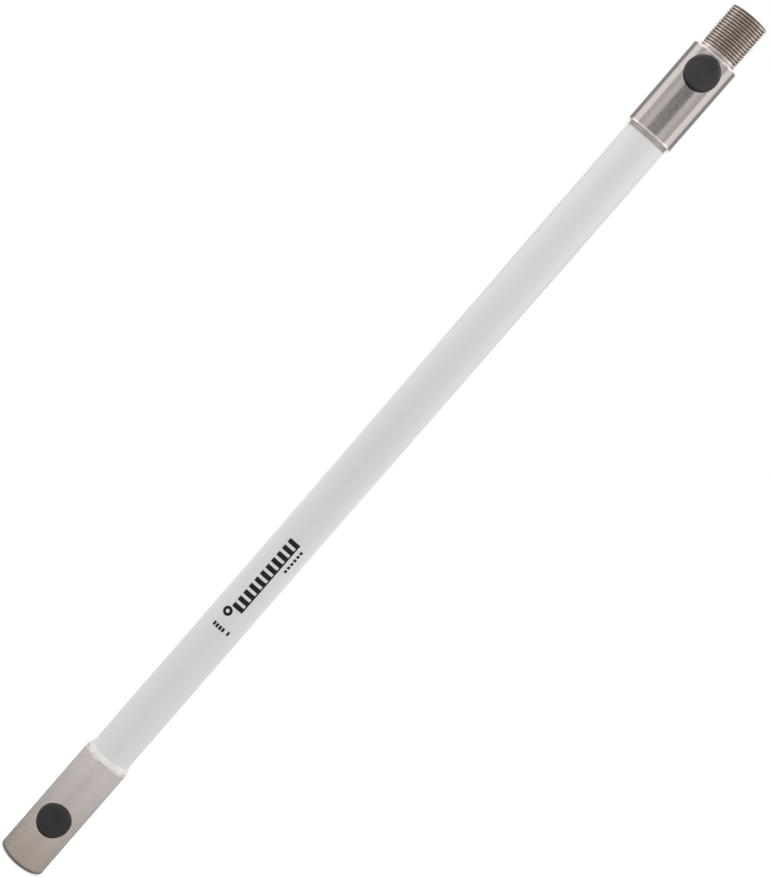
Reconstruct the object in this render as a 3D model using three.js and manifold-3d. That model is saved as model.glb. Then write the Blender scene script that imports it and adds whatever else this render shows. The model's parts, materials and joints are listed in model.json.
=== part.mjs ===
// Antenna extension mast: a white glass-fibre tube bonded into two turned steel ferrules.
// The lower ferrule has the female 1"-14 thread, the upper one the male stud, and each has
// a round side port for the cable, closed by a push-in plug.
// Millimetres. The mast stands along +Z on the face round its base thread, centred on the
// origin. Both ports face -Y.
import * as THREE from "three";
import { mergeVertices } from "three/addons/utils/BufferGeometryUtils.js";
import Module from "manifold-3d";

const wasm = await Module();
wasm.setup();

// ---- Driving dimensions ----

const TUBE_DIAMETER = 26.6;
const TUBE_WALL = 3;
const EXPOSED_TUBE_LENGTH = 478.8;
const TUBE_END_CHAMFER = 0.4;

// 1"-14 UNS thread, the standard one of marine antennas and their mounts
const THREAD_DIAMETER = 25.4;
const THREADS_PER_INCH = 14;
const EXTERNAL_THREAD_DEPTH_IN_PITCHES = 0.6134;
const INTERNAL_THREAD_DEPTH_IN_PITCHES = 0.5413;
const INTERNAL_THREAD_CLEARANCE = 0.1;

const SOCKET_WALL = 2.5; // least wall round the base thread
const SLEEVE_WALL = 1.65; // least wall round the tube
const BOND_GAP = 0.25;
const SEAT_WIDTH = 1.4; // step that stops the tube, at the cable chamber's end
const SEAT_GAP = 0.3;
const BEVEL_LENGTH = 3.6;
const BEVEL_LIP = 0.25;
const EDGE_BREAK = 0.8;

const BASE_THREAD_LENGTH = 24;
const MOUTH_CHAMFER = 0.5;
const LOWER_PORT_LAND_BELOW = 1.5;
const LOWER_PORT_LAND_ABOVE = 3;
const LOWER_ENGAGEMENT = 35.75;

const UPPER_ENGAGEMENT = 34.3;
const UPPER_PORT_LAND_BELOW = 2.3;
const UPPER_PORT_LAND_ABOVE = 3.5;

const STUD_LENGTH = 29;
const STUD_WALL = 2.1; // between the thread's root and the cable bore
const STUD_END_CHAMFER = 1;
const COLLAR_HEIGHT = 1.8; // cone from the shoulder down to the thread relief
const COLLAR_STEP = 0.75;
const RELIEF_LENGTH = 0.8;

const PORT_DIAMETER = 19.05;
const HEAD_OVERLAP = 1.15;
const HEAD_THICKNESS = 2;
const HEAD_RIM_WIDTH = 1.6;
const HEAD_RIM_HEIGHT = 1.1;
const PLUG_CLEARANCE = 0.15;
const PLUG_WALL = 1.3;
const PLUG_DEPTH = 9;
const BARB_HEIGHT = 0.35;
const BARB_LENGTH = 1.8;

const BEAD_HEIGHT = 0.9;
const BEAD_WIDTH = 0.45;
const BOND_VOID = 1.5; // unfilled end of the bond line, next to the seat
const TOUCH = 0.02; // gap between pieces that lie against each other

const MARK_HEIGHT_ABOVE_FERRULE = 119.7;
const MARK_LENGTH = 53;
const MARK_WIDTH = 7.5;
const MARK_SPINE_WIDTH = 0.9;
const MARK_TICKS = 11;
const MARK_TICK_LENGTH = 3;
const INK_THICKNESS = 0.08;

const ROUND_STEPS = 48;
const THREAD_STEPS = 30;
const PLUG_STEPS = 48;
const HEAD_RINGS = 4;

// ---- Sizes that follow from them ----

const PITCH = 25.4 / THREADS_PER_INCH;
const THREAD_RADIUS = THREAD_DIAMETER / 2;
const STUD_ROOT_RADIUS = THREAD_RADIUS - EXTERNAL_THREAD_DEPTH_IN_PITCHES * PITCH;
const BASE_THREAD_BORE = THREAD_RADIUS - INTERNAL_THREAD_DEPTH_IN_PITCHES * PITCH;
const STUD_BORE = STUD_ROOT_RADIUS - STUD_WALL;

const TUBE_RADIUS = TUBE_DIAMETER / 2;
const TUBE_BORE = TUBE_RADIUS - TUBE_WALL;
const SOCKET_RADIUS = TUBE_RADIUS + BOND_GAP;
const CHAMBER_RADIUS = TUBE_RADIUS - SEAT_WIDTH;
const FERRULE_RADIUS = Math.max(THREAD_RADIUS + SOCKET_WALL, SOCKET_RADIUS + SLEEVE_WALL);

const PORT_RADIUS = PORT_DIAMETER / 2;
const LOWER_PORT_Z = BASE_THREAD_LENGTH + LOWER_PORT_LAND_BELOW + PORT_RADIUS;
const LOWER_SEAT_Z = LOWER_PORT_Z + PORT_RADIUS + LOWER_PORT_LAND_ABOVE;
const TUBE_BOTTOM_Z = LOWER_SEAT_Z + SEAT_GAP;
const LOWER_MOUTH_Z = TUBE_BOTTOM_Z + LOWER_ENGAGEMENT;
const UPPER_MOUTH_Z = LOWER_MOUTH_Z + EXPOSED_TUBE_LENGTH;
const TUBE_TOP_Z = UPPER_MOUTH_Z + UPPER_ENGAGEMENT;
const UPPER_SEAT_Z = TUBE_TOP_Z + SEAT_GAP;
const UPPER_PORT_Z = UPPER_SEAT_Z + UPPER_PORT_LAND_BELOW + PORT_RADIUS;
const SHOULDER_Z = UPPER_PORT_Z + PORT_RADIUS + UPPER_PORT_LAND_ABOVE;
const CHAMBER_TOP_Z = SHOULDER_Z - UPPER_PORT_LAND_ABOVE / 2;
const THREAD_START_Z = SHOULDER_Z + COLLAR_HEIGHT + RELIEF_LENGTH;
const TOP_Z = SHOULDER_Z + STUD_LENGTH;

// ---- Solids ----

// A closed geometry as a manifold-3d solid. Triangles that shrank to a line, as at a pole, go.
function solidOf(geometry) {
  const bare = geometry.clone();
  bare.deleteAttribute("normal");
  bare.deleteAttribute("uv");
  const merged = mergeVertices(bare, 1e-4);
  const corners = merged.index.array;
  const triVerts = [];
  for (let i = 0; i < corners.length; i += 3) {
    const [a, b, c] = [corners[i], corners[i + 1], corners[i + 2]];
    if (a !== b && b !== c && c !== a) {
      triVerts.push(a, b, c);
    }
  }
  return new wasm.Manifold(
    new wasm.Mesh({
      numProp: 3,
      vertProperties: merged.attributes.position.array,
      triVerts: new Uint32Array(triVerts),
    }),
  );
}

function geometryOf(solid) {
  const mesh = solid.getMesh();
  const geometry = new THREE.BufferGeometry();
  geometry.setAttribute("position", new THREE.BufferAttribute(mesh.vertProperties, 3));
  geometry.setIndex(new THREE.BufferAttribute(mesh.triVerts, 1));
  geometry.computeVertexNormals();
  return geometry;
}

// A profile of [radius, z] points turned round Z, up the outside and down the inside or the axis.
function turned(profile) {
  const points = profile.map(([radius, z]) => new THREE.Vector2(radius, z));
  const closed = [...points, points[0].clone()];
  return solidOf(new THREE.LatheGeometry(closed, ROUND_STEPS).rotateX(Math.PI / 2));
}

// A rod with a right-hand 60 degree thread along +Z. Its rows of points climb one pitch a turn,
// so where a turn closes, the last column meets the first one a pitch higher. The ends are
// closed roughly, to be cut off: the thread is whole from z = 2 pitches up to z = turns pitches.
function threadedRod(crestRadius, rootRadius, turns) {
  const turnProfile = [
    [0, rootRadius],
    [1 / 4, rootRadius],
    [9 / 16, crestRadius],
    [11 / 16, crestRadius],
  ];
  const perTurn = turnProfile.length;
  const lastLevel = turns * perTurn;
  const topPole = lastLevel + 1;
  const columns = THREAD_STEPS + 1;
  const rod = new THREE.CylinderGeometry(1, 1, 1, THREAD_STEPS, topPole, true);
  const positions = rod.attributes.position;
  for (let i = 0; i < positions.count; i += 1) {
    const column = i % columns;
    const level = topPole - Math.floor(i / columns);
    if (level === 0 || level === topPole) {
      positions.setXYZ(i, 0, level === 0 ? 0 : (turns + 1) * PITCH, 0);
      continue;
    }
    const [share, radius] = turnProfile[level % perTurn];
    const rise = Math.floor(level / perTurn) + share + (column % THREAD_STEPS) / THREAD_STEPS;
    const wholeTurn = column === THREAD_STEPS ? 1 : 0;
    const angle = (2 * Math.PI * (column % THREAD_STEPS)) / THREAD_STEPS;
    const height = (rise + wholeTurn) * PITCH;
    positions.setXYZ(i, radius * Math.sin(angle), height, radius * Math.cos(angle));
  }
  const at = (level, column) => (topPole - level) * columns + column;
  const corners = Array.from(rod.index.array);
  for (let step = 1; step <= perTurn; step += 1) {
    corners.push(at(0, 0), at(step, 0), at(step + 1, 0));
    const upper = lastLevel - step + 1;
    corners.push(at(topPole, THREAD_STEPS), at(upper, THREAD_STEPS), at(upper - 1, THREAD_STEPS));
  }
  rod.setIndex(corners);
  return solidOf(rod.rotateX(Math.PI / 2));
}

// A threaded rod that is whole between two heights.
function threadBetween(crestRadius, rootRadius, fromZ, toZ) {
  const turns = Math.ceil((toZ - fromZ) / PITCH) + 3;
  return threadedRod(crestRadius, rootRadius, turns).translate([0, 0, fromZ - 2 * PITCH]);
}

// The round hole from outside the ferrule through its -Y wall.
function portHole(z) {
  const reach = FERRULE_RADIUS + 5;
  const hole = new THREE.CylinderGeometry(PORT_RADIUS, PORT_RADIUS, reach, ROUND_STEPS);
  return solidOf(hole.translate(0, -reach / 2, z));
}

function lowerFerrule() {
  const mouthRadius = THREAD_RADIUS + MOUTH_CHAMFER;
  const pilotRadius = BASE_THREAD_BORE - PITCH / 2;
  const body = turned([
    [mouthRadius, 0],
    [FERRULE_RADIUS - EDGE_BREAK, 0],
    [FERRULE_RADIUS, EDGE_BREAK],
    [FERRULE_RADIUS, LOWER_MOUTH_Z - BEVEL_LENGTH],
    [SOCKET_RADIUS + BEVEL_LIP, LOWER_MOUTH_Z],
    [SOCKET_RADIUS, LOWER_MOUTH_Z],
    [SOCKET_RADIUS, LOWER_SEAT_Z],
    [CHAMBER_RADIUS, LOWER_SEAT_Z],
    [CHAMBER_RADIUS, BASE_THREAD_LENGTH],
    [pilotRadius, BASE_THREAD_LENGTH],
    [pilotRadius, mouthRadius - pilotRadius],
  ]);
  const threadReach = turned([
    [0, -PITCH],
    [THREAD_RADIUS + PITCH, -PITCH],
    [THREAD_RADIUS + PITCH, BASE_THREAD_LENGTH],
    [0, BASE_THREAD_LENGTH],
  ]);
  const thread = threadBetween(
    THREAD_RADIUS + INTERNAL_THREAD_CLEARANCE,
    BASE_THREAD_BORE,
    -PITCH,
    BASE_THREAD_LENGTH,
  );
  return body.subtract(thread.intersect(threadReach)).subtract(portHole(LOWER_PORT_Z));
}

function upperFerrule() {
  const collarRadius = STUD_ROOT_RADIUS + COLLAR_STEP;
  const body = turned([
    [SOCKET_RADIUS, UPPER_MOUTH_Z],
    [SOCKET_RADIUS + BEVEL_LIP, UPPER_MOUTH_Z],
    [FERRULE_RADIUS, UPPER_MOUTH_Z + BEVEL_LENGTH],
    [FERRULE_RADIUS, SHOULDER_Z - EDGE_BREAK],
    [FERRULE_RADIUS - EDGE_BREAK, SHOULDER_Z],
    [collarRadius, SHOULDER_Z],
    [STUD_ROOT_RADIUS, SHOULDER_Z + COLLAR_HEIGHT],
    [STUD_ROOT_RADIUS, THREAD_START_Z],
    [STUD_BORE, THREAD_START_Z],
    [STUD_BORE, CHAMBER_TOP_Z],
    [CHAMBER_RADIUS, CHAMBER_TOP_Z],
    [CHAMBER_RADIUS, UPPER_SEAT_Z],
    [SOCKET_RADIUS, UPPER_SEAT_Z],
  ]);
  const blankRadius = THREAD_RADIUS + PITCH / 2;
  const endRadius = THREAD_RADIUS - STUD_END_CHAMFER;
  const studBlank = turned([
    [STUD_BORE, THREAD_START_Z],
    [STUD_ROOT_RADIUS, THREAD_START_Z],
    [blankRadius, THREAD_START_Z + blankRadius - STUD_ROOT_RADIUS],
    [blankRadius, TOP_Z - (blankRadius - endRadius)],
    [endRadius, TOP_Z],
    [STUD_BORE, TOP_Z],
  ]);
  const thread = threadBetween(THREAD_RADIUS, STUD_ROOT_RADIUS, THREAD_START_Z, TOP_Z);
  return body.add(thread.intersect(studBlank)).subtract(portHole(UPPER_PORT_Z));
}

function mastTube() {
  return turned([
    [TUBE_BORE, TUBE_BOTTOM_Z],
    [TUBE_RADIUS - TUBE_END_CHAMFER, TUBE_BOTTOM_Z],
    [TUBE_RADIUS, TUBE_BOTTOM_Z + TUBE_END_CHAMFER],
    [TUBE_RADIUS, TUBE_TOP_Z - TUBE_END_CHAMFER],
    [TUBE_RADIUS - TUBE_END_CHAMFER, TUBE_TOP_Z],
    [TUBE_BORE, TUBE_TOP_Z],
  ]);
}

// The cured bond line and the small fillet squeezed out at the ferrule's mouth. outward is +1
// where the mouth faces up and -1 where it faces down.
function adhesive(seatZ, mouthZ, outward) {
  const inner = TUBE_RADIUS + TOUCH;
  const outer = SOCKET_RADIUS - TOUCH;
  const deepZ = seatZ + outward * (SEAT_GAP + BOND_VOID);
  const faceZ = mouthZ + outward * TOUCH;
  const profile = [
    [inner, deepZ],
    [outer, deepZ],
    [outer, faceZ],
    [inner + BEAD_WIDTH, faceZ],
    [inner + TOUCH, mouthZ + outward * BEAD_HEIGHT],
    [inner, mouthZ + outward * BEAD_HEIGHT],
  ];
  if (outward < 0) {
    profile.reverse();
  }
  return turned(profile);
}

// A push-in plug: a thin domed head that hugs the ferrule and a hollow barbed skirt in the port.
// Points of the head follow the ferrule's curve, and points of the skirt's end lie in one plane.
function portPlug() {
  const headRadius = PORT_RADIUS + HEAD_OVERLAP;
  const barbRadius = PORT_RADIUS - PLUG_CLEARANCE;
  const skirtRadius = barbRadius - BARB_HEIGHT;
  const boreRadius = skirtRadius - PLUG_WALL;
  const curve = (x) => Math.sqrt(FERRULE_RADIUS ** 2 - x ** 2);
  const sideDrop = FERRULE_RADIUS - curve(skirtRadius);
  const barbTop = Math.max(FERRULE_RADIUS - CHAMBER_RADIUS, sideDrop) + BARB_HEIGHT;
  const tip = Math.max(PLUG_DEPTH, barbTop + BARB_LENGTH);
  const disc = (radius, height) =>
    Array.from({ length: HEAD_RINGS }, (_, ring) => ({
      radius: (radius * ring) / HEAD_RINGS,
      height,
      curved: true,
    }));
  const underside = Array.from({ length: HEAD_RINGS }, (_, ring) => ({
    radius: headRadius + ((skirtRadius - headRadius) * ring) / HEAD_RINGS,
    height: TOUCH,
    curved: true,
  }));
  const webHeight = HEAD_THICKNESS - PLUG_WALL;
  const faceRadius = headRadius - HEAD_RIM_WIDTH;
  const profile = [
    ...disc(faceRadius, HEAD_THICKNESS),
    { radius: faceRadius, height: HEAD_THICKNESS, curved: true },
    { radius: headRadius, height: HEAD_RIM_HEIGHT, curved: true },
    ...underside,
    { radius: skirtRadius, height: TOUCH, curved: true },
    { radius: skirtRadius, height: -barbTop, curved: false },
    { radius: barbRadius, height: -barbTop - BARB_LENGTH / 2, curved: false },
    { radius: skirtRadius, height: -tip, curved: false },
    { radius: boreRadius, height: -tip, curved: false },
    { radius: boreRadius, height: webHeight, curved: true },
    ...disc(boreRadius, webHeight).reverse(),
  ];
  const outline = profile.map(({ radius, height }) => new THREE.Vector2(radius, height));
  const plug = new THREE.LatheGeometry(outline, PLUG_STEPS);
  const rimTop = FERRULE_RADIUS + HEAD_RIM_HEIGHT;
  const rimWidthShare = (rimTop * Math.sin(headRadius / FERRULE_RADIUS)) / headRadius;
  const positions = plug.attributes.position;
  for (let i = 0; i < positions.count; i += 1) {
    const { radius, height, curved } = profile[i % profile.length];
    const beyondSkirt = Math.max(0, (radius - skirtRadius) / (headRadius - skirtRadius));
    const x = positions.getX(i) * (1 + (rimWidthShare - 1) * beyondSkirt);
    const surface = curved ? curve(x) : FERRULE_RADIUS;
    positions.setXYZ(i, x, -(surface + height), positions.getZ(i));
  }
  return solidOf(plug);
}

// A plain graduated mark in ink: a spine with square ticks, wrapped on the tube's -Y side.
function printedMark() {
  const bottom = LOWER_MOUTH_Z + MARK_HEIGHT_ABOVE_FERRULE;
  const right = MARK_WIDTH / 2;
  const spine = right - MARK_SPINE_WIDTH;
  const tickStep = (MARK_LENGTH - MARK_TICK_LENGTH) / (MARK_TICKS - 1);
  const outline = new THREE.Shape();
  outline.moveTo(right, bottom);
  outline.lineTo(right, bottom + MARK_LENGTH);
  for (let tick = MARK_TICKS - 1; tick >= 0; tick -= 1) {
    const tickBottom = bottom + tick * tickStep;
    outline.lineTo(tick === MARK_TICKS - 1 ? -right : spine, tickBottom + MARK_TICK_LENGTH);
    outline.lineTo(-right, tickBottom + MARK_TICK_LENGTH);
    outline.lineTo(-right, tickBottom);
    if (tick > 0) {
      outline.lineTo(spine, tickBottom);
    }
  }
  outline.closePath();
  const stamp = new THREE.ExtrudeGeometry(outline, { depth: 2 * TUBE_RADIUS, bevelEnabled: false });
  const film = turned([
    [TUBE_RADIUS + TOUCH, bottom - 1],
    [TUBE_RADIUS + TOUCH + INK_THICKNESS, bottom - 1],
    [TUBE_RADIUS + TOUCH + INK_THICKNESS, bottom + MARK_LENGTH + 1],
    [TUBE_RADIUS + TOUCH, bottom + MARK_LENGTH + 1],
  ]);
  return film.intersect(solidOf(stamp.rotateX(Math.PI / 2)));
}

// ---- The object ----

const steel = { color: 0xb4aca6, roughness: 0.32, metalness: 1 };
const blackPlastic = { color: 0x353231, roughness: 0.5, metalness: 0 };
const resin = { color: 0xe4e0d6, roughness: 0.55, metalness: 0 };

const mast = new THREE.Group();

function addPiece(name, solid, finish, z = 0) {
  const mesh = new THREE.Mesh(geometryOf(solid), new THREE.MeshStandardMaterial(finish));
  mesh.name = name;
  mesh.position.z = z;
  mast.add(mesh);
}

addPiece("mast_tube", mastTube(), { color: 0xe6e4e2, roughness: 0.35, metalness: 0 });
addPiece("lower_ferrule", lowerFerrule(), steel);
addPiece("upper_ferrule", upperFerrule(), steel);
addPiece("lower_adhesive", adhesive(LOWER_SEAT_Z, LOWER_MOUTH_Z, 1), resin);
addPiece("upper_adhesive", adhesive(UPPER_SEAT_Z, UPPER_MOUTH_Z, -1), resin);
addPiece("lower_plug", portPlug(), blackPlastic, LOWER_PORT_Z);
addPiece("upper_plug", portPlug(), blackPlastic, UPPER_PORT_Z);
addPiece("printed_mark", printedMark(), { color: 0x161616, roughness: 0.6, metalness: 0 });

export default mast;
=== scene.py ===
"""Antenna extension mast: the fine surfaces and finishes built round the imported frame.

Metres, in the frame's own axes: the mast stands along +Z and both cable ports face -Y.
"""

import json
import math

import bmesh
import bpy
from mathutils import Matrix, Vector


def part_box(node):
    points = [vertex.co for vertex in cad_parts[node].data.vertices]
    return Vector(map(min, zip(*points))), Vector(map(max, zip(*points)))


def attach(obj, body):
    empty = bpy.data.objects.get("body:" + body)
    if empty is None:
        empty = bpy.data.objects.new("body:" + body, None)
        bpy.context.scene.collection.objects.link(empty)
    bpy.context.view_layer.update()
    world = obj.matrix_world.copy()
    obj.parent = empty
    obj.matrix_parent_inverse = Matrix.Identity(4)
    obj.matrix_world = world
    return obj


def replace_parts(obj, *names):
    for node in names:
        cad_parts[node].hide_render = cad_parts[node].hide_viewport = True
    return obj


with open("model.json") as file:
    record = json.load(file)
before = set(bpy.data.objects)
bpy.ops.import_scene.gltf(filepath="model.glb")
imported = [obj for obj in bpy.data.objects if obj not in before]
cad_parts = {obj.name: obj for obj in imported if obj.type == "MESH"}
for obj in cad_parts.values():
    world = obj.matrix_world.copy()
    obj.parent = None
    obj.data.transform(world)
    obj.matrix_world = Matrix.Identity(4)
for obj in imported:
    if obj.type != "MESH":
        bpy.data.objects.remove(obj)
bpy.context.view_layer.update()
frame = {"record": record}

# ---- Sizes, from the frame and in named values ----

MM = 0.001
MOUNTS = {mount["name"]: mount["pos_m"] for mount in frame["record"]["mounts"]}
LOWER_LOW, LOWER_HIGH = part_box("lower_ferrule")
UPPER_LOW, UPPER_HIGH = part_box("upper_ferrule")
TUBE_LOW, TUBE_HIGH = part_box("mast_tube")
MARK_LOW, MARK_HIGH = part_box("printed_mark")

FERRULE_RADIUS = LOWER_HIGH.x
LOWER_MOUTH_Z = LOWER_HIGH.z
UPPER_MOUTH_Z = UPPER_LOW.z
SHOULDER_Z = MOUNTS["stud_shoulder"][2]
TOP_Z = UPPER_HIGH.z
TUBE_RADIUS = TUBE_HIGH.x
TUBE_BORE = TUBE_RADIUS - 3 * MM

PITCH = 25.4 * MM / 14
THREAD_RADIUS = 12.7 * MM
STUD_ROOT = THREAD_RADIUS - 0.6134 * PITCH
STUD_TIP = THREAD_RADIUS - 1 * MM
STUD_BORE = STUD_ROOT - 2.1 * MM
STUD_BORE_ROUND = 0.5 * MM
BASE_ROOT = THREAD_RADIUS + 0.1 * MM
BASE_CREST = THREAD_RADIUS - 0.5413 * PITCH
BASE_MOUTH = THREAD_RADIUS + 0.5 * MM
BASE_THREAD_END_Z = 24 * MM

SOCKET_RADIUS = TUBE_RADIUS + 0.25 * MM
CHAMBER_RADIUS = TUBE_RADIUS - 1.4 * MM
SEAT_GAP = 0.3 * MM
CHAMBER_TOP_Z = SHOULDER_Z - 1.75 * MM
BEVEL_LENGTH = 3.6 * MM
LAND_SETBACK = 0.2 * MM
LAND_LENGTH = 1.05 * MM
LAND_DROP = 0.13 * MM
LAND_ROUND = 0.3 * MM
MOUTH_ROUND = 0.15 * MM
SHOULDER_ROUND = 1.7 * MM
FOOT_ROUND = 1 * MM
SMALL_EDGE = 0.3 * MM

# The collar below the stud's thread, in mm: beyond the root, above the shoulder, fillet.
COLLAR = (
    (0.75, 0, 0.2), (0.45, 0.45, 0.1), (0.15, 0.6, 0.1), (0.15, 1.25, 0.1),
    (0.6, 1.45, 0.15), (0.1, 2.3, 0.1),
)
THREAD_START_Z = SHOULDER_Z + 2.6 * MM

PORT_RADIUS = 9.525 * MM
HEAD_HEIGHT = 2 * MM
HEAD_DISH = 0.06 * MM
HEAD_ROUND = 0.9 * MM
RIM_WIDTH = 1.6 * MM
RIM_HEIGHT = 0.9 * MM
RIM_ROUND = 0.45 * MM
HEAD_BEND = 18 * MM
SKIRT_RADIUS = 9.025 * MM
SKIRT_WALL = 1.3 * MM
SKIRT_TAPER = 0.2 * MM
SKIRT_ROUND = 0.3 * MM
BARB_RADIUS = 9.375 * MM
SKIRT_START_Y = -10.5 * MM
BARB_BACK_Y = -8.6 * MM
BARB_CREST_Y = -8 * MM
WEB_HEIGHT = -0.1 * MM

# Where the rings of points lie on the plug's face and on the web inside it, as radius shares.
FACE_SHARES = (0, 0.03, 0.2, 0.4, 0.6, 0.8)
WEB_SHARES = (1, 0.75, 0.5, 0.25, 0.03, 0)

FIT_GAP = 0.02 * MM
BOND_EDGE = 0.2 * MM

# Epoxy at the ferrules' mouths, followed from the bond line out over the bevel and back to the
# tube: a smear as (share of the bevel, thickness in mm), then a bead as (mm beyond the bond
# line, mm over the mouth).
LOWER_SMEAR = (
    (0, 0.02), (0.4, 0.02), (0.82, 0.02), (0.83, 0.05), (0.8, 0.1), (0.6, 0.15), (0.3, 0.16),
)
LOWER_BEAD = ((0.36, 0.17), (0.26, 0.34), (0.14, 0.5), (0.05, 0.62), (0.01, 0.66))
UPPER_BEAD = ((0.05, 0.02), (0.22, 0.05), (0.16, 0.16), (0.07, 0.28), (0.01, 0.36))

# The print: heights over the wall, then places along its arc from -Y and up the mast.
INK_BOTTOM = 0.01 * MM
INK_TOP = 0.08 * MM
COMB_LEFT = -3.7 * MM
COMB_RIGHT = 3.8 * MM
COMB_SPINE = 0.9 * MM
COMB_TICK = 3 * MM
COMB_TICKS = 11
RING_ARC = -3.6 * MM
RING_Z = 199.2 * MM
RING_RADIUS = 3 * MM
RING_HOLE = 1.2 * MM
DASH_ARC = 6.4 * MM
DASH_WIDTH = 1.8 * MM
DASH_Z = 238 * MM
DASH_STEP = 2.8 * MM
DASHES = 6
BLOCK_ARCS = (-5.6 * MM, -3.4 * MM, -1.2 * MM, 1 * MM, 4.8 * MM)
BLOCK_WIDTH = 1.5 * MM
BLOCK_LOW_Z = 187.3 * MM
BLOCK_HIGH_Z = 190 * MM

# The mast's round pieces have this many columns of points, so that their rows meet exactly.
COLUMNS = 160
TUBE_ROWS = 40
PLUG_COLUMNS = 96
INK_RING_STEPS = 48
INK_STEP = 0.5 * MM
OUTER_PATCH = {"half_columns": 20, "rows": 40, "half_height": 11.6 * MM}
INNER_PATCH = {"half_columns": 26, "rows": 28, "half_height": 10.6 * MM}
PATCH_RINGS = 8
MERGE_DISTANCE = 1e-6
SHARP_ANGLE = math.radians(38)


# ---- Mesh building ----


def around(radius, column, z):
    """The point at a radius and height, counted in columns from the -Y side."""
    angle = 2 * math.pi * column / COLUMNS
    return Vector((radius * math.sin(angle), -radius * math.cos(angle), z))


def ring(radius, z):
    return [around(radius, column % COLUMNS, z) for column in range(COLUMNS + 1)]


def rounded(corners, steps=6):
    """A profile of (radius, z) points from corners given as (radius, z, fillet radius)."""
    points = []
    for index, (radius, z, fillet) in enumerate(corners):
        here = Vector((radius, z))
        if fillet == 0 or index in (0, len(corners) - 1):
            points.append(here)
            continue
        before = Vector(corners[index - 1][:2]) - here
        after = Vector(corners[index + 1][:2]) - here
        half = before.angle(after) / 2
        reach = min(fillet / math.tan(half), 0.48 * before.length, 0.48 * after.length)
        start = here + before.normalized() * reach
        end = here + after.normalized() * reach
        for step in range(steps + 1):
            share = step / steps
            points.append(start.lerp(here, share).lerp(here.lerp(end, share), share))
    return points


def object_from_grids(name, grids, body, material):
    """One closed mesh from grids of points that share their edges."""
    mesh = bmesh.new()
    for rows, skip in grids:
        made = [[mesh.verts.new(point) for point in row] for row in rows]
        for row in range(len(rows) - 1):
            for column in range(len(rows[row]) - 1):
                if skip and skip(row, column):
                    continue
                mesh.faces.new((
                    made[row][column],
                    made[row][column + 1],
                    made[row + 1][column + 1],
                    made[row + 1][column],
                ))
    return finished(name, mesh, body, material)


def finished(name, mesh, body, material):
    """A piece from a mesh: merged, turned outward, smooth but for its sharp edges, on its body."""
    bmesh.ops.remove_doubles(mesh, verts=mesh.verts, dist=MERGE_DISTANCE)
    bmesh.ops.dissolve_degenerate(mesh, edges=mesh.edges, dist=MERGE_DISTANCE)
    loose = [vert for vert in mesh.verts if not vert.link_faces]
    bmesh.ops.delete(mesh, geom=loose, context="VERTS")
    bmesh.ops.recalc_face_normals(mesh, faces=mesh.faces)
    for face in mesh.faces:
        face.smooth = True
    for edge in mesh.edges:
        edge.smooth = edge.is_manifold and edge.calc_face_angle() < SHARP_ANGLE
    data = bpy.data.meshes.new(name)
    mesh.to_mesh(data)
    mesh.free()
    piece = bpy.data.objects.new(name, data)
    bpy.context.scene.collection.objects.link(piece)
    piece.data.materials.append(material)
    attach(piece, body)
    return piece


# ---- Threads ----

# One turn of each thread's profile: share of the pitch, share of the depth out from the root.
EXTERNAL_TURN = (
    (0, 0), (0.09, -0.03), (0.17, -0.03), (0.25, 0), (0.4, 0.48),
    (0.535, 0.93), (0.575, 1), (0.675, 1), (0.715, 0.93), (0.85, 0.48),
)
INTERNAL_TURN = (
    (0, 0), (0.1, 0), (0.2, 0), (0.25, 0.04), (0.4, 0.45),
    (0.54, 0.94), (0.58, 1), (0.67, 1), (0.71, 0.94), (0.85, 0.45),
)


def thread_rows(low_z, high_z, inner, outer, turn, limit):
    """Rows of a right-hand thread, each climbing one pitch a turn, flattened onto both ends.

    limit(z, radius) trims a radius, and gives the end rings theirs."""
    rows = []
    turns = math.ceil((high_z - low_z) / PITCH) + 1
    for whole in range(-1, turns):
        for share, depth in turn:
            row = []
            for column in range(COLUMNS + 1):
                z = low_z + (whole + share + column / COLUMNS) * PITCH
                held = min(max(z, low_z), high_z)
                radius = limit(held, inner + depth * (outer - inner))
                row.append(around(radius, column % COLUMNS, held))
            rows.append(row)
    return rows


# ---- Ferrules ----


def patch_heights(patch, centre):
    """The heights of a patch's rows, from its bottom to its top."""
    low = centre - patch["half_height"]
    step = 2 * patch["half_height"] / patch["rows"]
    return [low + step * row for row in range(patch["rows"] + 1)]


def patch_rim(patch, centre):
    """The patch's outline as (angle, z), once round from its lowest left corner."""
    half = patch["half_columns"]
    heights = patch_heights(patch, centre)
    turn = 2 * math.pi / COLUMNS
    across = [column * turn for column in range(-half, half + 1)]
    rim = [(angle, heights[0]) for angle in across[:-1]]
    rim += [(across[-1], z) for z in heights[:-1]]
    rim += [(angle, heights[-1]) for angle in reversed(across[1:])]
    rim += [(across[0], z) for z in reversed(heights[1:])]
    return rim + rim[:1]


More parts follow.
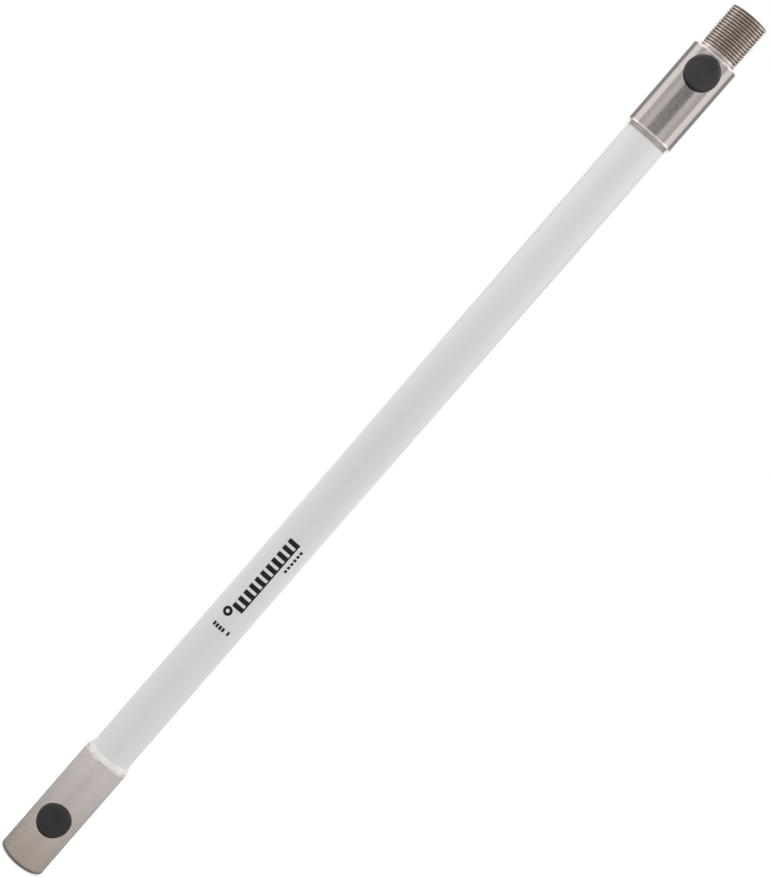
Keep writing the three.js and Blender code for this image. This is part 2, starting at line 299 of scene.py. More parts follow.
def port_rows(centre):
    """Rings of points from the outer wall's patch, through the port's edge, to the inner one."""
    rim_steps = 2 * (2 * OUTER_PATCH["half_columns"] + OUTER_PATCH["rows"])
    turns = [math.radians(-135) + 2 * math.pi * step / rim_steps for step in range(rim_steps + 1)]

    def hole_point(surface, radius, turn, depth=0.0):
        x = radius * math.cos(turn)
        return Vector((x, -(math.sqrt(surface**2 - x**2) - depth), centre + radius * math.sin(turn)))

    def wall_rings(surface, patch, hole):
        rings = []
        for step in range(PATCH_RINGS + 1):
            share = step / PATCH_RINGS
            points = []
            for (angle, z), turn in zip(patch_rim(patch, centre), turns):
                edge = hole_point(surface, hole, turn)
                hole_angle = math.atan2(edge.x, -edge.y)
                mixed = angle + (hole_angle - angle) * share
                points.append(Vector((
                    surface * math.sin(mixed),
                    -surface * math.cos(mixed),
                    z + (edge.z - z) * share,
                )))
            rings.append(points)
        return rings

    rings = wall_rings(FERRULE_RADIUS, OUTER_PATCH, PORT_RADIUS + SMALL_EDGE)
    for degrees in (30, 60, 90):
        lean = math.radians(degrees)
        radius = PORT_RADIUS + SMALL_EDGE * (1 - math.sin(lean))
        depth = SMALL_EDGE * (1 - math.cos(lean))
        rings.append([hole_point(FERRULE_RADIUS, radius, turn, depth) for turn in turns])
    rings += reversed(wall_rings(CHAMBER_RADIUS, INNER_PATCH, PORT_RADIUS))
    return rings


def ferrule_grids(outside, inside, port_z):
    """The ferrule's grids. outside runs up the wall and inside down it, as lists of rows, and
    None in each marks where the port's patch comes."""
    rows = []
    patches = []
    for part, patch, radius in (
        (outside, OUTER_PATCH, FERRULE_RADIUS),
        (inside, INNER_PATCH, CHAMBER_RADIUS),
    ):
        for row in part:
            if row is not None:
                rows.append(row)
                continue
            heights = patch_heights(patch, port_z)
            if part is inside:
                heights.reverse()
            patches.append((len(rows), patch))
            rows += [ring(radius, z) for z in heights]
    rows.append(rows[0])

    def in_patch(row, column):
        return any(
            start <= row < start + patch["rows"]
            and (column < patch["half_columns"] or column >= COLUMNS - patch["half_columns"])
            for start, patch in patches
        )

    return [(rows, in_patch), (port_rows(port_z), None)]


def rings(points):
    return [ring(radius, z) for radius, z in points]


def lower_ferrule(material):
    """Female thread in the foot, cable chamber with its port, and a socket for the tube."""
    plug_low, plug_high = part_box("lower_plug")
    port_z = (plug_low.z + plug_high.z) / 2
    seat_z = TUBE_LOW.z - SEAT_GAP
    land_z = LOWER_MOUTH_Z - BEVEL_LENGTH - LAND_SETBACK
    foot = rounded([
        (BASE_MOUTH, 0, 0),
        (FERRULE_RADIUS, 0, FOOT_ROUND),
        (FERRULE_RADIUS, port_z, 0),
    ])[:-1]
    shoulder = rounded([
        (FERRULE_RADIUS, port_z, 0),
        (FERRULE_RADIUS, land_z, LAND_ROUND),
        (FERRULE_RADIUS - LAND_DROP, land_z + LAND_LENGTH, LAND_ROUND),
        (SOCKET_RADIUS + SMALL_EDGE, LOWER_MOUTH_Z, MOUTH_ROUND),
        (SOCKET_RADIUS, LOWER_MOUTH_Z, 0),
        (SOCKET_RADIUS, seat_z, 0),
        (CHAMBER_RADIUS, seat_z, 0),
    ])[1:]

    def limit(z, radius):
        return max(BASE_MOUTH - z, min(radius, BASE_CREST + (BASE_THREAD_END_Z - z)))

    thread = thread_rows(0, BASE_THREAD_END_Z, BASE_CREST, BASE_ROOT, INTERNAL_TURN, limit)
    outside = [*rings(foot), None, *rings(shoulder)]
    inside = [None, ring(CHAMBER_RADIUS, BASE_THREAD_END_Z), *reversed(thread)]
    grids = ferrule_grids(outside, inside, port_z)
    piece = object_from_grids("lower_ferrule_turned", grids, "mast", material)
    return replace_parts(piece, "lower_ferrule")


def upper_ferrule(material):
    """A socket for the tube, cable chamber with its port, and the hollow threaded stud."""
    plug_low, plug_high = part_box("upper_plug")
    port_z = (plug_low.z + plug_high.z) / 2
    seat_z = TUBE_HIGH.z + SEAT_GAP
    land_z = UPPER_MOUTH_Z + BEVEL_LENGTH + LAND_SETBACK
    sleeve = rounded([
        (SOCKET_RADIUS, UPPER_MOUTH_Z, 0),
        (SOCKET_RADIUS + SMALL_EDGE, UPPER_MOUTH_Z, MOUTH_ROUND),
        (FERRULE_RADIUS - LAND_DROP, land_z - LAND_LENGTH, LAND_ROUND),
        (FERRULE_RADIUS, land_z, LAND_ROUND),
        (FERRULE_RADIUS, port_z, 0),
    ])[:-1]
    collar = rounded([
        (FERRULE_RADIUS, port_z, 0),
        (FERRULE_RADIUS, SHOULDER_Z, SHOULDER_ROUND),
        *[(STUD_ROOT + out * MM, SHOULDER_Z + up * MM, fillet * MM) for out, up, fillet in COLLAR],
        (STUD_ROOT, THREAD_START_Z, 0),
    ])[1:]
    bore = rounded([
        (STUD_TIP, TOP_Z, 0),
        (STUD_BORE, TOP_Z, STUD_BORE_ROUND),
        (STUD_BORE, CHAMBER_TOP_Z, 0),
        (CHAMBER_RADIUS, CHAMBER_TOP_Z, 0),
    ])

    def limit(z, radius):
        if z >= TOP_Z:
            return STUD_TIP
        if z <= THREAD_START_Z:
            return STUD_ROOT
        return min(radius, STUD_ROOT + (z - THREAD_START_Z), STUD_TIP + (TOP_Z - z))

    thread = thread_rows(THREAD_START_Z, TOP_Z, STUD_ROOT, THREAD_RADIUS, EXTERNAL_TURN, limit)
    outside = [*rings(sleeve), None, *rings(collar), *thread, *rings(bore)]
    inside = [None, ring(CHAMBER_RADIUS, seat_z), ring(SOCKET_RADIUS, seat_z)]
    grids = ferrule_grids(outside, inside, port_z)
    piece = object_from_grids("upper_ferrule_turned", grids, "mast", material)
    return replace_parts(piece, "upper_ferrule")


# ---- Tube, adhesive, plugs and print ----


def mast_tube(material):
    """An open tube with softly broken outer edges."""
    low, high = TUBE_LOW.z, TUBE_HIGH.z
    middle = (low + high) / 2
    steps = [low + (high - low) * step / TUBE_ROWS for step in range(1, TUBE_ROWS)]
    foot = rounded([
        (TUBE_BORE, low, 0),
        (TUBE_RADIUS, low, SMALL_EDGE),
        (TUBE_RADIUS, middle, 0),
    ])[:-1]
    crown = rounded([
        (TUBE_RADIUS, middle, 0),
        (TUBE_RADIUS, high, SMALL_EDGE),
        (TUBE_BORE, high, 0),
    ])[1:]
    profile = [*foot, *[(TUBE_RADIUS, z) for z in steps], *crown]
    profile += [(TUBE_BORE, z) for z in reversed(steps)] + profile[:1]
    grids = [(rings(profile), None)]
    piece = object_from_grids("mast_tube_fine", grids, "mast", material)
    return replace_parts(piece, "mast_tube")


def adhesive(node, mouth_z, outward, phase, smear, bead, material):
    """The bond line, a thin smear on the ferrule's bevel and an uneven bead at the tube."""
    low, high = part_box(node)
    seat_z = low.z if outward > 0 else high.z
    inner = TUBE_RADIUS + FIT_GAP
    outer = SOCKET_RADIUS - FIT_GAP
    rim = SOCKET_RADIUS + SMALL_EDGE
    bevel_run = FERRULE_RADIUS - LAND_DROP - rim
    bevel_rise = BEVEL_LENGTH + LAND_SETBACK - LAND_LENGTH

    def swell(column):
        turn = 2 * math.pi * (column % COLUMNS) / COLUMNS
        return (1 + 0.1 * math.sin(2 * turn + phase) + 0.07 * math.sin(5 * turn + 2 * phase)
                + 0.04 * math.sin(11 * turn + 3 * phase))

    def uneven(radius, out, lift, rise):
        """A row at a radius and a lift over the mouth, the swell's share of out and rise added."""
        row = []
        for column in range(COLUMNS + 1):
            grown = swell(column)
            level = mouth_z + outward * (lift + grown * rise)
            row.append(around(radius + grown * out, column % COLUMNS, level))
        return row

    rows = [ring(inner, seat_z), ring(outer, seat_z), ring(outer, mouth_z - outward * BOND_EDGE)]
    for share, thick in smear:
        rows.append(uneven(rim + thick * MM, share * bevel_run, thick * MM, -share * bevel_rise))
    for wide, tall in bead:
        rows.append(uneven(outer, wide * MM, 0, tall * MM))
    bead_top = bead[-1][1] * MM
    rows.append(uneven(inner, 0, 0, bead_top))
    rows.append(rows[0])
    piece = object_from_grids(f"{node}_bead", [(rows, None)], "mast", material)
    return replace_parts(piece, node)


def port_plug(node, body, material):
    """A hollow barbed skirt under a round head, bent a little less than the ferrule's wall."""
    low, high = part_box(node)
    centre = (low.z + high.z) / 2
    head_radius = (high.z - low.z) / 2
    turns = [2 * math.pi * step / PLUG_COLUMNS for step in range(PLUG_COLUMNS)]
    turns.append(turns[0])

    def saddle(reach, height):
        points = []
        for turn in turns:
            angle = reach * math.cos(turn) / HEAD_BEND
            radius = HEAD_BEND + height
            points.append(Vector((
                radius * math.sin(angle),
                HEAD_BEND - FERRULE_RADIUS - radius * math.cos(angle),
                centre + reach * math.sin(turn),
            )))
        return points

    def straight(radius, y):
        return [
            Vector((radius * math.cos(turn), y, centre + radius * math.sin(turn)))
            for turn in turns
        ]

    rim = head_radius - RIM_WIDTH
    hollow = SKIRT_RADIUS - SKIRT_WALL
    face = [(rim * share, HEAD_HEIGHT - HEAD_DISH * (1 - share)) for share in FACE_SHARES]
    edge = rounded([
        (0, HEAD_HEIGHT - HEAD_DISH, 0),
        (rim, HEAD_HEIGHT, HEAD_ROUND),
        (head_radius, RIM_HEIGHT, RIM_ROUND),
        (head_radius, FIT_GAP, 0.12 * MM),
        (SKIRT_RADIUS, FIT_GAP, 0.2 * MM),
        (SKIRT_RADIUS, -2 * MM, 0),
    ])[1:-1]
    barb = rounded([
        (SKIRT_RADIUS, SKIRT_START_Y, 0),
        (SKIRT_RADIUS, BARB_BACK_Y, 0.2 * MM),
        (BARB_RADIUS, BARB_CREST_Y, 0.25 * MM),
        (SKIRT_RADIUS - SKIRT_TAPER, high.y, SKIRT_ROUND),
        (hollow, high.y, SKIRT_ROUND),
        (hollow, SKIRT_START_Y, 0),
    ])
    rows = [saddle(*point) for point in [*face, *edge]]
    rows += [straight(*point) for point in barb]
    rows += [saddle(hollow * share, WEB_HEIGHT) for share in WEB_SHARES]
    piece = object_from_grids(f"{node}_moulded", [(rows, None)], body, material)
    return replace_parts(piece, node)


def printed_film(name, cells, material):
    """Ink on the tube, closed round every patch of touching cells. Each cell is (arc start,
    arc end, z start, z end), its arcs measured along the wall from -Y."""
    cells = [tuple(round(value, 6) for value in cell) for cell in cells]
    heights = sorted({z for cell in cells for z in cell[2:]})
    marks = sorted({arc for cell in cells for arc in cell[:2]})
    arcs = []
    for start, end in zip(marks, marks[1:]):
        steps = max(1, round((end - start) / INK_STEP))
        arcs += [start + (end - start) * step / steps for step in range(steps)]
    arcs.append(marks[-1])
    mesh = bmesh.new()
    corners = {}

    def inked(column, row):
        if not (0 <= column < len(arcs) - 1 and 0 <= row < len(heights) - 1):
            return False
        arc = (arcs[column] + arcs[column + 1]) / 2
        z = (heights[row] + heights[row + 1]) / 2
        return any(cell[0] < arc < cell[1] and cell[2] < z < cell[3] for cell in cells)

    def corner(column, row, lift):
        key = (column, row, lift)
        if key not in corners:
            angle = arcs[column] / TUBE_RADIUS
            radius = TUBE_RADIUS + lift
            place = (radius * math.sin(angle), -radius * math.cos(angle), heights[row])
            corners[key] = mesh.verts.new(place)
        return corners[key]

    def wall(one, two):
        mesh.faces.new((
            corner(*one, INK_BOTTOM), corner(*two, INK_BOTTOM),
            corner(*two, INK_TOP), corner(*one, INK_TOP),
        ))

    for column in range(len(arcs) - 1):
        for row in range(len(heights) - 1):
            if not inked(column, row):
                continue
            loop = [(column, row), (column + 1, row), (column + 1, row + 1), (column, row + 1)]
            for lift in (INK_BOTTOM, INK_TOP):
                mesh.faces.new([corner(*point, lift) for point in loop])
            beside = ((0, -1), (1, 0), (0, 1), (-1, 0))
            for side, (across, up) in enumerate(beside):
                if not inked(column + across, row + up):
                    wall(loop[side], loop[(side + 1) % 4])
    return finished(name, mesh, "mast", material)


def printed_disc(name, arc_centre, z_centre, radius, hole, material):
    """A plain ring of ink."""
    section = [(hole, INK_BOTTOM), (hole, INK_TOP), (radius, INK_TOP), (radius, INK_BOTTOM)]
    rows = []
    for reach, lift in [*section, section[0]]:
        row = []
        for step in range(INK_RING_STEPS + 1):
            turn = 2 * math.pi * (step % INK_RING_STEPS) / INK_RING_STEPS
            angle = (arc_centre + reach * math.cos(turn)) / TUBE_RADIUS
            row.append(Vector((
                (TUBE_RADIUS + lift) * math.sin(angle),
                -(TUBE_RADIUS + lift) * math.cos(angle),
                z_centre + reach * math.sin(turn),
            )))
        rows.append(row)
    return object_from_grids(name, [(rows, None)], "mast", material)


def print_marks(material):
    """Plain generic marks where the maker's print would be: a comb, a ring, dashes, blocks."""
    low, high = MARK_LOW.z, MARK_HIGH.z
    tick_step = (high - low - COMB_TICK) / (COMB_TICKS - 1)
    spine = COMB_RIGHT - COMB_SPINE
    starts = [low + index * tick_step for index in range(COMB_TICKS)]
    cells = [(COMB_LEFT, spine, start, start + COMB_TICK) for start in starts]
    comb = printed_film("print_comb", [*cells, (spine, COMB_RIGHT, low, high)], material)
    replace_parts(comb, "printed_mark")
    printed_disc("print_ring", RING_ARC, RING_Z, RING_RADIUS, RING_HOLE, material)
    starts = [DASH_Z + index * DASH_STEP for index in range(DASHES)]
    dashes = [(DASH_ARC, DASH_ARC + DASH_WIDTH, start, start + DASH_WIDTH) for start in starts]
    printed_film("print_dashes", dashes, material)
    blocks = [(arc, arc + BLOCK_WIDTH, BLOCK_LOW_Z, BLOCK_HIGH_Z) for arc in BLOCK_ARCS]
    printed_film("print_blocks", blocks, material)


# ---- Materials ----


class Nodes:
    """A material's node tree, built a line at a time."""

    def __init__(self, name, color, roughness, metallic=0.0):
        self.material = bpy.data.materials.new(name)
        self.material.use_nodes = True
        self.tree = self.material.node_tree
        self.shader = self.tree.nodes["Principled BSDF"]
        self.set(**{"Base Color": (*color, 1), "Roughness": roughness, "Metallic": metallic})
        self.place = self.add("ShaderNodeTexCoord").outputs["Object"]

    def set(self, **values):
        for socket, value in values.items():
            self.shader.inputs[socket].default_value = value

    def add(self, kind, inputs=None, **settings):
        node = self.tree.nodes.new(kind)
        for key, value in settings.items():
            setattr(node, key, value)
        for key, value in (inputs or {}).items():
            if isinstance(value, bpy.types.NodeSocket):
                self.tree.links.new(value, node.inputs[key])
            else:
                node.inputs[key].default_value = value
        return node

    def link(self, output, socket):
        self.tree.links.new(output, self.shader.inputs[socket])

    def noise(self, stretch, scale, detail=3.0, roughness=0.5):
        """Noise over the object, its coordinates multiplied by stretch first."""
        mapping = self.add("ShaderNodeMapping", {"Vector": self.place, "Scale": stretch})
        return self.add("ShaderNodeTexNoise", {
            "Vector": mapping.outputs["Vector"],
            "Scale": scale,
            "Detail": detail,
            "Roughness": roughness,
        }).outputs["Fac"]

    def calculate(self, operation, one, two):
        return self.add("ShaderNodeMath", {0: one, 1: two}, operation=operation).outputs[0]

    def ramp(self, value, low, high, out_low=0.0, out_high=1.0):
        """A value carried from the range low to high into out_low to out_high, and held there."""
        return self.add("ShaderNodeMapRange", {
            "Value": value,
            "From Min": low,
            "From Max": high,
            "To Min": out_low,
            "To Max": out_high,
        }).outputs["Result"]

    def mix(self, share, one, two):
        node = self.add("ShaderNodeMix", data_type="RGBA")
        sockets = node.inputs[0], node.inputs[6], node.inputs[7]
        for socket, value in zip(sockets, (share, one, two)):
            if isinstance(value, bpy.types.NodeSocket):
                self.tree.links.new(value, socket)
            elif isinstance(value, tuple):
                socket.default_value = (*value, 1)
            else:
                socket.default_value = value
        return node.outputs[2]

    def bump(self, height, distance, strength=1.0, under=None):
        """A normal from a height, on top of the normal under it if one is given."""
        inputs = {"Height": height, "Distance": distance, "Strength": strength}
        if under is not None:
            inputs["Normal"] = under
        return self.add("ShaderNodeBump", inputs).outputs["Normal"]


# Painted shade: the foot's steel darkens and browns towards the floor, over the lowest 70 mm.
SHADED_FOOT_STEEL = (0.54, 0.47, 0.41)
# Painted shade: a near-black steel for the foot's bottom edge.
EDGE_SHADE_STEEL = (0.16, 0.135, 0.11)
# Painted light: a paler steel for the stud, as if lit.
LIT_STUD_STEEL = (0.78, 0.705, 0.655)
# Painted shade: a near-black brown laid into the thread roots.
THREAD_SHADE = (0.09, 0.062, 0.042)
THREAD_SHADE_SHARE = 0.84
SHADED_FOOT_TOP = 70 * MM
DARK_EDGE_TOP = 2.4 * MM
DARK_EDGE_FULL = 0.7 * MM


def turned_steel(name, color, stain, roughness, groove, blotch):
    """Turned stainless steel: grooves round the axis, uneven polish, painted shade in the thread
    roots, a stud painted paler as painted light, and painted shade darkening the foot and its bottom
    edge."""
    nodes = Nodes(name, color, roughness, 1.0)
    nodes.set(Anisotropic=0.6, **{"Anisotropic Rotation": 0.25})
    tangent = nodes.add("ShaderNodeTangent", direction_type="RADIAL", axis="Z")
    nodes.link(tangent.outputs["Tangent"], "Tangent")
    cloud = nodes.noise((1, 1, 0.6), 55, 4, 0.6)
    fine = nodes.noise((1, 1, 1), 900, 2, 0.5)
    place = nodes.add("ShaderNodeSeparateXYZ", {"Vector": nodes.place}).outputs
    flat = nodes.add("ShaderNodeCombineXYZ", {"X": place["X"], "Y": place["Y"]})
    radius = nodes.add("ShaderNodeVectorMath", {0: flat.outputs["Vector"]}, operation="LENGTH")
    height = place["Z"]

    stains_light_and_shade = nodes.mix(nodes.ramp(cloud, 0.35, 0.7), color, stain)
    # Painted shade: the steel is painted darker and browner towards the floor.
    stains_light_and_shade = nodes.mix(nodes.ramp(height, SHADED_FOOT_TOP, 0), stains_light_and_shade, SHADED_FOOT_STEEL)
    # Painted shade: the lowest 2.4 mm of the foot is painted nearly black.
    edge = nodes.ramp(height, DARK_EDGE_TOP, DARK_EDGE_FULL)
    stains_light_and_shade = nodes.mix(edge, stains_light_and_shade, EDGE_SHADE_STEEL)
    # Painted light: from the collar up, the stud is painted a paler steel.
    stud = nodes.ramp(height, SHOULDER_Z + 2 * MM, THREAD_START_Z)
    socket = nodes.ramp(height, BASE_THREAD_END_Z, BASE_THREAD_END_Z - 0.5 * MM)
    stains_light_and_shade = nodes.mix(stud, stains_light_and_shade, LIT_STUD_STEEL)
    root = nodes.ramp(
        radius.outputs["Value"], STUD_ROOT + 0.15 * MM, THREAD_RADIUS - 0.45 * MM, 1, 0,
    )
    # Painted shade: the roots of the stud's thread and of the foot's female thread are darkened
    # towards near-black.
    thread_shade = nodes.calculate("MULTIPLY", root, nodes.calculate("ADD", stud, socket))
    thread_shade = nodes.calculate("MULTIPLY", thread_shade, THREAD_SHADE_SHARE)
    nodes.link(nodes.mix(thread_shade, stains_light_and_shade, THREAD_SHADE), "Base Color")

    patchy = nodes.ramp(cloud, 0.3, 0.7, roughness - blotch, roughness + blotch)
    speck = nodes.ramp(fine, 0.3, 0.7, -0.03, 0.03)
    nodes.link(nodes.calculate("ADD", patchy, speck), "Roughness")
    coarse = nodes.noise((6, 6, 1400), 1, 3, 0.6)
    thin = nodes.noise((10, 10, 7000), 1, 2, 0.5)
    normal = nodes.bump(coarse, groove * 2)
    nodes.link(nodes.bump(thin, groove, 1.0, normal), "Normal")
    return nodes.material


def white_fibreglass():
    """White coat over glass fibre, painted paler and a little warmer towards the top as painted
    light, with a faint lengthwise grain and a few scuffs."""
    nodes = Nodes("white_fibreglass", (0.8, 0.79, 0.785), 0.38)
    nodes.set(**{"Coat Weight": 0.15, "Coat Roughness": 0.25, "Specular IOR Level": 0.45})
    cloud = nodes.noise((1, 1, 0.15), 40, 3, 0.55)
    grain = nodes.noise((700, 700, 9), 1, 3, 0.5)
    peel = nodes.noise((1, 1, 1), 420, 2, 0.5)
    scuff = nodes.noise((1, 1, 0.08), 260, 5, 0.7)
    place = nodes.add("ShaderNodeSeparateXYZ", {"Vector": nodes.place})
    # Painted light: the coat is painted paler and warmer from 320 mm up to 560 mm, lightest at the
    # top.
    height = nodes.ramp(place.outputs["Z"], 320 * MM, 560 * MM)
    white = nodes.mix(height, (0.785, 0.777, 0.775), (0.865, 0.838, 0.83))
    dull = nodes.mix(height, (0.755, 0.748, 0.747), (0.835, 0.81, 0.803))
    nodes.link(nodes.mix(nodes.ramp(cloud, 0.3, 0.7), white, dull), "Base Color")
    nodes.link(nodes.ramp(scuff, 0.3, 0.75, 0.33, 0.46), "Roughness")
    normal = nodes.bump(grain, 0.012 * MM)
    nodes.link(nodes.bump(peel, 0.02 * MM, 1.0, normal), "Normal")
    return nodes.material


def cured_resin():
    """Cured epoxy: cream, slightly cloudy and wavy."""
    nodes = Nodes("cured_resin", (0.72, 0.68, 0.6), 0.4)
    cloud = nodes.noise((1, 1, 1), 160, 3)
    cream = nodes.mix(nodes.ramp(cloud, 0.35, 0.65), (0.82, 0.8, 0.77), (0.76, 0.73, 0.68))
    nodes.link(cream, "Base Color")
    nodes.link(nodes.ramp(cloud, 0.3, 0.7, 0.3, 0.5), "Roughness")
    nodes.link(nodes.bump(nodes.noise((1, 1, 1), 500, 2), 0.05 * MM), "Normal")
    return nodes.material


def black_polyethylene(node, tone):
    """Moulded black plastic: a fine pebbled face with softly worn, slightly greyer spots, and
    painted shade darkening its rim."""
    low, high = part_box(node)
    centre = (0, 0, (low.z + high.z) / 2)
    reach = (high.z - low.z) / 2
    nodes = Nodes(f"{node}_black", (tone, tone, tone), 0.42)
    nodes.set(**{"Specular IOR Level": 0.45})
    place = nodes.add("ShaderNodeSeparateXYZ", {"Vector": nodes.place}).outputs
    flat = nodes.add("ShaderNodeCombineXYZ", {"X": place["X"], "Z": place["Z"]}).outputs["Vector"]
    away = nodes.add("ShaderNodeVectorMath", {0: flat, 1: centre}, operation="DISTANCE")
    # Painted shade: the head darkens towards its edge, down to a fifth of its tone.
    rim = nodes.ramp(away.outputs["Value"], reach - 1.7 * MM, reach - 0.5 * MM)
    cloud = nodes.noise((1, 1, 1), 130, 4, 0.6)
    grain = nodes.noise((1, 1, 1), 2600, 2, 0.5)
    deep = (tone, 0.9 * tone, 1.02 * tone)
    worn = (1.4 * tone, 1.27 * tone, 1.42 * tone)
    black = nodes.mix(nodes.ramp(cloud, 0.35, 0.7), deep, worn)
    nodes.link(nodes.mix(rim, black, (0.2 * tone, 0.2 * tone, 0.2 * tone)), "Base Color")
    nodes.link(nodes.ramp(cloud, 0.3, 0.7, 0.36, 0.5), "Roughness")
    nodes.link(nodes.bump(grain, 0.01 * MM), "Normal")
    return nodes.material


def screen_ink():
    """Black print, a little thin in places."""
    full, thin = (0.012, 0.012, 0.013), (0.12, 0.116, 0.112)
    nodes = Nodes("screen_ink", full, 0.5)
    nodes.set(**{"Specular IOR Level": 0.2})
    worn = nodes.noise((1, 1, 1), 1500, 4, 0.7)
    nodes.link(nodes.mix(nodes.ramp(worn, 0.62, 0.78), full, thin), "Base Color")
    nodes.link(nodes.ramp(worn, 0.3, 0.7, 0.42, 0.6), "Roughness")
    return nodes.material


# ---- Camera, light and stage ----


CAMERA_PLACE = (0.0007, -1.2612, 0.4906)
CAMERA_TILT = math.radians(7.036)
CAMERA_ROLL = math.radians(40.952)
CAMERA_LENS = 89.65


def camera():
    """A long lens, well back on the ports' side, tilted down and rolled."""
    ahead = Vector((0, math.cos(CAMERA_TILT), -math.sin(CAMERA_TILT)))
    level_right = Vector((1, 0, 0))
    level_up = level_right.cross(ahead)
    right = level_right * math.cos(CAMERA_ROLL) + level_up * math.sin(CAMERA_ROLL)
    up = level_up * math.cos(CAMERA_ROLL) - level_right * math.sin(CAMERA_ROLL)
    lens = bpy.data.cameras.new("camera")
    lens.lens = CAMERA_LENS
    lens.clip_start = 0.05
    lens.clip_end = 50
    shot = bpy.data.objects.new("camera", lens)
    bpy.context.scene.collection.objects.link(shot)
    place = Matrix((right, up, -ahead)).transposed().to_4x4()
    place.translation = CAMERA_PLACE
    shot.matrix_world = place
    bpy.context.scene.camera = shot


# The studio's brightness by direction: degrees round from the ports' side, and degrees up.
# ROUND counts near level and UPWARD elsewhere, mixed by LEVEL_SHARE.
ROUND = (
    (0, 0.13), (23, 0.13), (34, 0.76), (52, 0.74), (60, 0.62), (72, 0.62),
    (80, 0.2), (112, 0.2), (124, 0.4), (150, 0.4), (161, 1.0), (180, 1.4),
)
UPWARD = (
    (-90, 0.1), (-58, 0.14), (-47, 0.9), (-32, 0.85), (-22, 0.44), (-17, 0.56), (-13, 2.1),
    (-7, 2.1), (-2, 0.8), (12, 0.85), (20, 1.5), (55, 1.5), (70, 0.9), (90, 0.8),
)
LEVEL_SHARE = ((-90, 0), (-8, 0), (-2, 1), (10, 1), (17, 0), (90, 0))
SURROUND_STRENGTH = 0.76
FLOOR_GLOW = 0.3
FLOOR_REACH = 20

# Softboxes: degrees round from the ports' side, distance, centre height, size and power.
SOFTBOXES = {
    "softbox_tall": (97, 1.5, 1.6, (1.06, 2.9), 7.6),
    "softbox_high": (43, 1.35, 1.25, (0.5, 0.5), 0.5),
}


def studio_light():
    """A soft surround that falls on the mast from all sides, seen as plain white itself."""
    world = bpy.data.worlds.new("studio")
    world.use_nodes = True
    tree = world.node_tree
    tree.nodes.clear()
    bpy.context.scene.world = world

    def add(kind, inputs=(), **settings):
        node = tree.nodes.new(kind)
        for key, value in settings.items():
            setattr(node, key, value)
        for index, value in enumerate(inputs):
            if isinstance(value, bpy.types.NodeSocket):
                tree.links.new(value, node.inputs[index])
            else:
                node.inputs[index].default_value = value
        return node

    def curve(value, stops, span, low):
        """The level at an angle, from (angle, level) stops in degrees."""
        ramp = add("ShaderNodeValToRGB", [value])
        ramp.color_ramp.interpolation = "LINEAR"
        points = ramp.color_ramp.elements
        while len(points) < len(stops):
            points.new(0.5)
        for point, (angle, level) in zip(points, stops):
            point.position = (angle - low) / span
            point.color = (level, level, level, 1)
        return ramp.outputs["Color"]

    along = add("ShaderNodeTexCoord").outputs["Generated"]
    parts = add("ShaderNodeSeparateXYZ", [along])
    across = add("ShaderNodeMath", [parts.outputs["X"]], operation="ABSOLUTE")
    toward = add("ShaderNodeMath", [parts.outputs["Y"], -1.0], operation="MULTIPLY")
    turn = add("ShaderNodeMath", [across.outputs[0], toward.outputs[0]], operation="ARCTAN2")
    turn = add("ShaderNodeMath", [turn.outputs[0], math.pi], operation="DIVIDE")
    rise = add("ShaderNodeMath", [parts.outputs["Z"]], operation="ARCSINE")
    rise = add("ShaderNodeMath", [rise.outputs[0], math.pi], operation="DIVIDE")
    rise = add("ShaderNodeMath", [rise.outputs[0], 0.5])
    around_level = curve(turn.outputs[0], ROUND, 180, 0)
    by_height = curve(rise.outputs[0], UPWARD, 180, -90)
    share = curve(rise.outputs[0], LEVEL_SHARE, 180, -90)
    mixed = add("ShaderNodeMix", data_type="RGBA")
    tree.links.new(share, mixed.inputs[0])
    tree.links.new(by_height, mixed.inputs[6])
    tree.links.new(around_level, mixed.inputs[7])
    surround = add("ShaderNodeBackground", [mixed.outputs[2], SURROUND_STRENGTH])
    backdrop = add("ShaderNodeBackground", [(1, 1, 1, 1), 1.0])
    seen = add("ShaderNodeLightPath").outputs["Is Camera Ray"]
    both = add("ShaderNodeMixShader", [seen, surround.outputs[0], backdrop.outputs[0]])
    add("ShaderNodeOutputWorld", [both.outputs[0]])


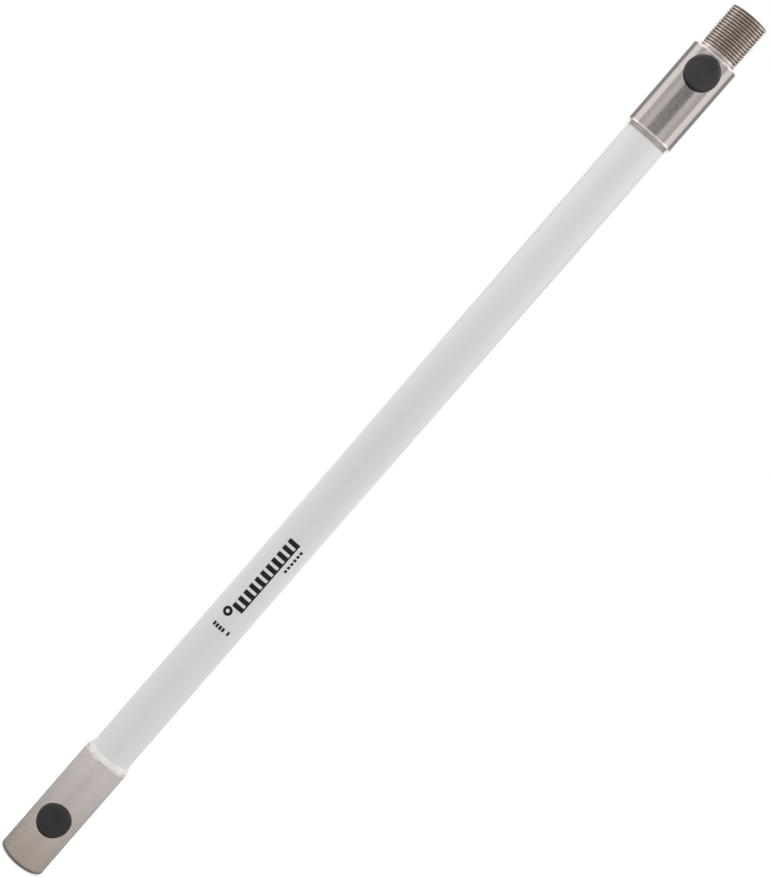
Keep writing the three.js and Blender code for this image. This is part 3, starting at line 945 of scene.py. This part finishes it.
def softboxes():
    """Upright area lights in pairs, left and right, each turned to the mast's axis."""
    for name, (degrees, distance, height, size, power) in SOFTBOXES.items():
        for side, end in ((-1, "left"), (1, "right")):
            light = bpy.data.lights.new(f"{name}_{end}", "AREA")
            light.shape = "RECTANGLE"
            light.size, light.size_y = size
            light.energy = power
            box = bpy.data.objects.new(f"{name}_{end}", light)
            bpy.context.scene.collection.objects.link(box)
            x = side * distance * math.sin(math.radians(degrees))
            y = -distance * math.cos(math.radians(degrees))
            box.location = (x, y, height)
            box.rotation_euler = Vector((x, y, 0)).to_track_quat("Z", "Y").to_euler()
            box.visible_camera = False


def floor():
    """A pale floor that the mast stands on, wide enough to run out to white."""
    mesh = bmesh.new()
    bmesh.ops.create_grid(mesh, x_segments=24, y_segments=24, size=FLOOR_REACH)
    bmesh.ops.translate(mesh, verts=mesh.verts, vec=(0, 0, -0.5 * MM))
    data = bpy.data.meshes.new("floor")
    mesh.to_mesh(data)
    mesh.free()
    sheet = bpy.data.objects.new("floor", data)
    bpy.context.scene.collection.objects.link(sheet)
    nodes = Nodes("pale_floor", (0.9, 0.9, 0.9), 0.9)
    nodes.set(**{
        "Emission Color": (1, 1, 1, 1),
        "Emission Strength": FLOOR_GLOW,
        "Specular IOR Level": 0.1,
    })
    data.materials.append(nodes.material)
    sheet.visible_glossy = False
    sheet.visible_diffuse = False
    sheet.visible_shadow = False


camera()
studio_light()
softboxes()
floor()

polished = turned_steel(
    "steel_turned", (0.65, 0.59, 0.567), (0.595, 0.53, 0.505), 0.22, 0.0014 * MM, 0.03,
)
satin = turned_steel(
    "steel_satin", (0.725, 0.66, 0.64), (0.63, 0.57, 0.54), 0.29, 0.0015 * MM, 0.05,
)
resin = cured_resin()
lower_ferrule(satin)
upper_ferrule(polished)
mast_tube(white_fibreglass())
adhesive("lower_adhesive", LOWER_MOUTH_Z, 1, 0.7, LOWER_SMEAR, LOWER_BEAD, resin)
adhesive("upper_adhesive", UPPER_MOUTH_Z, -1, 2.1, (), UPPER_BEAD, resin)
# Painted light: both plugs are one plastic, the lower painted a darker black and the upper a lighter
# one.
port_plug("lower_plug", "lower_plug", black_polyethylene("lower_plug", 0.014))
port_plug("upper_plug", "upper_plug", black_polyethylene("upper_plug", 0.027))
print_marks(screen_ink())

bpy.context.scene.view_settings.view_transform = "Standard"
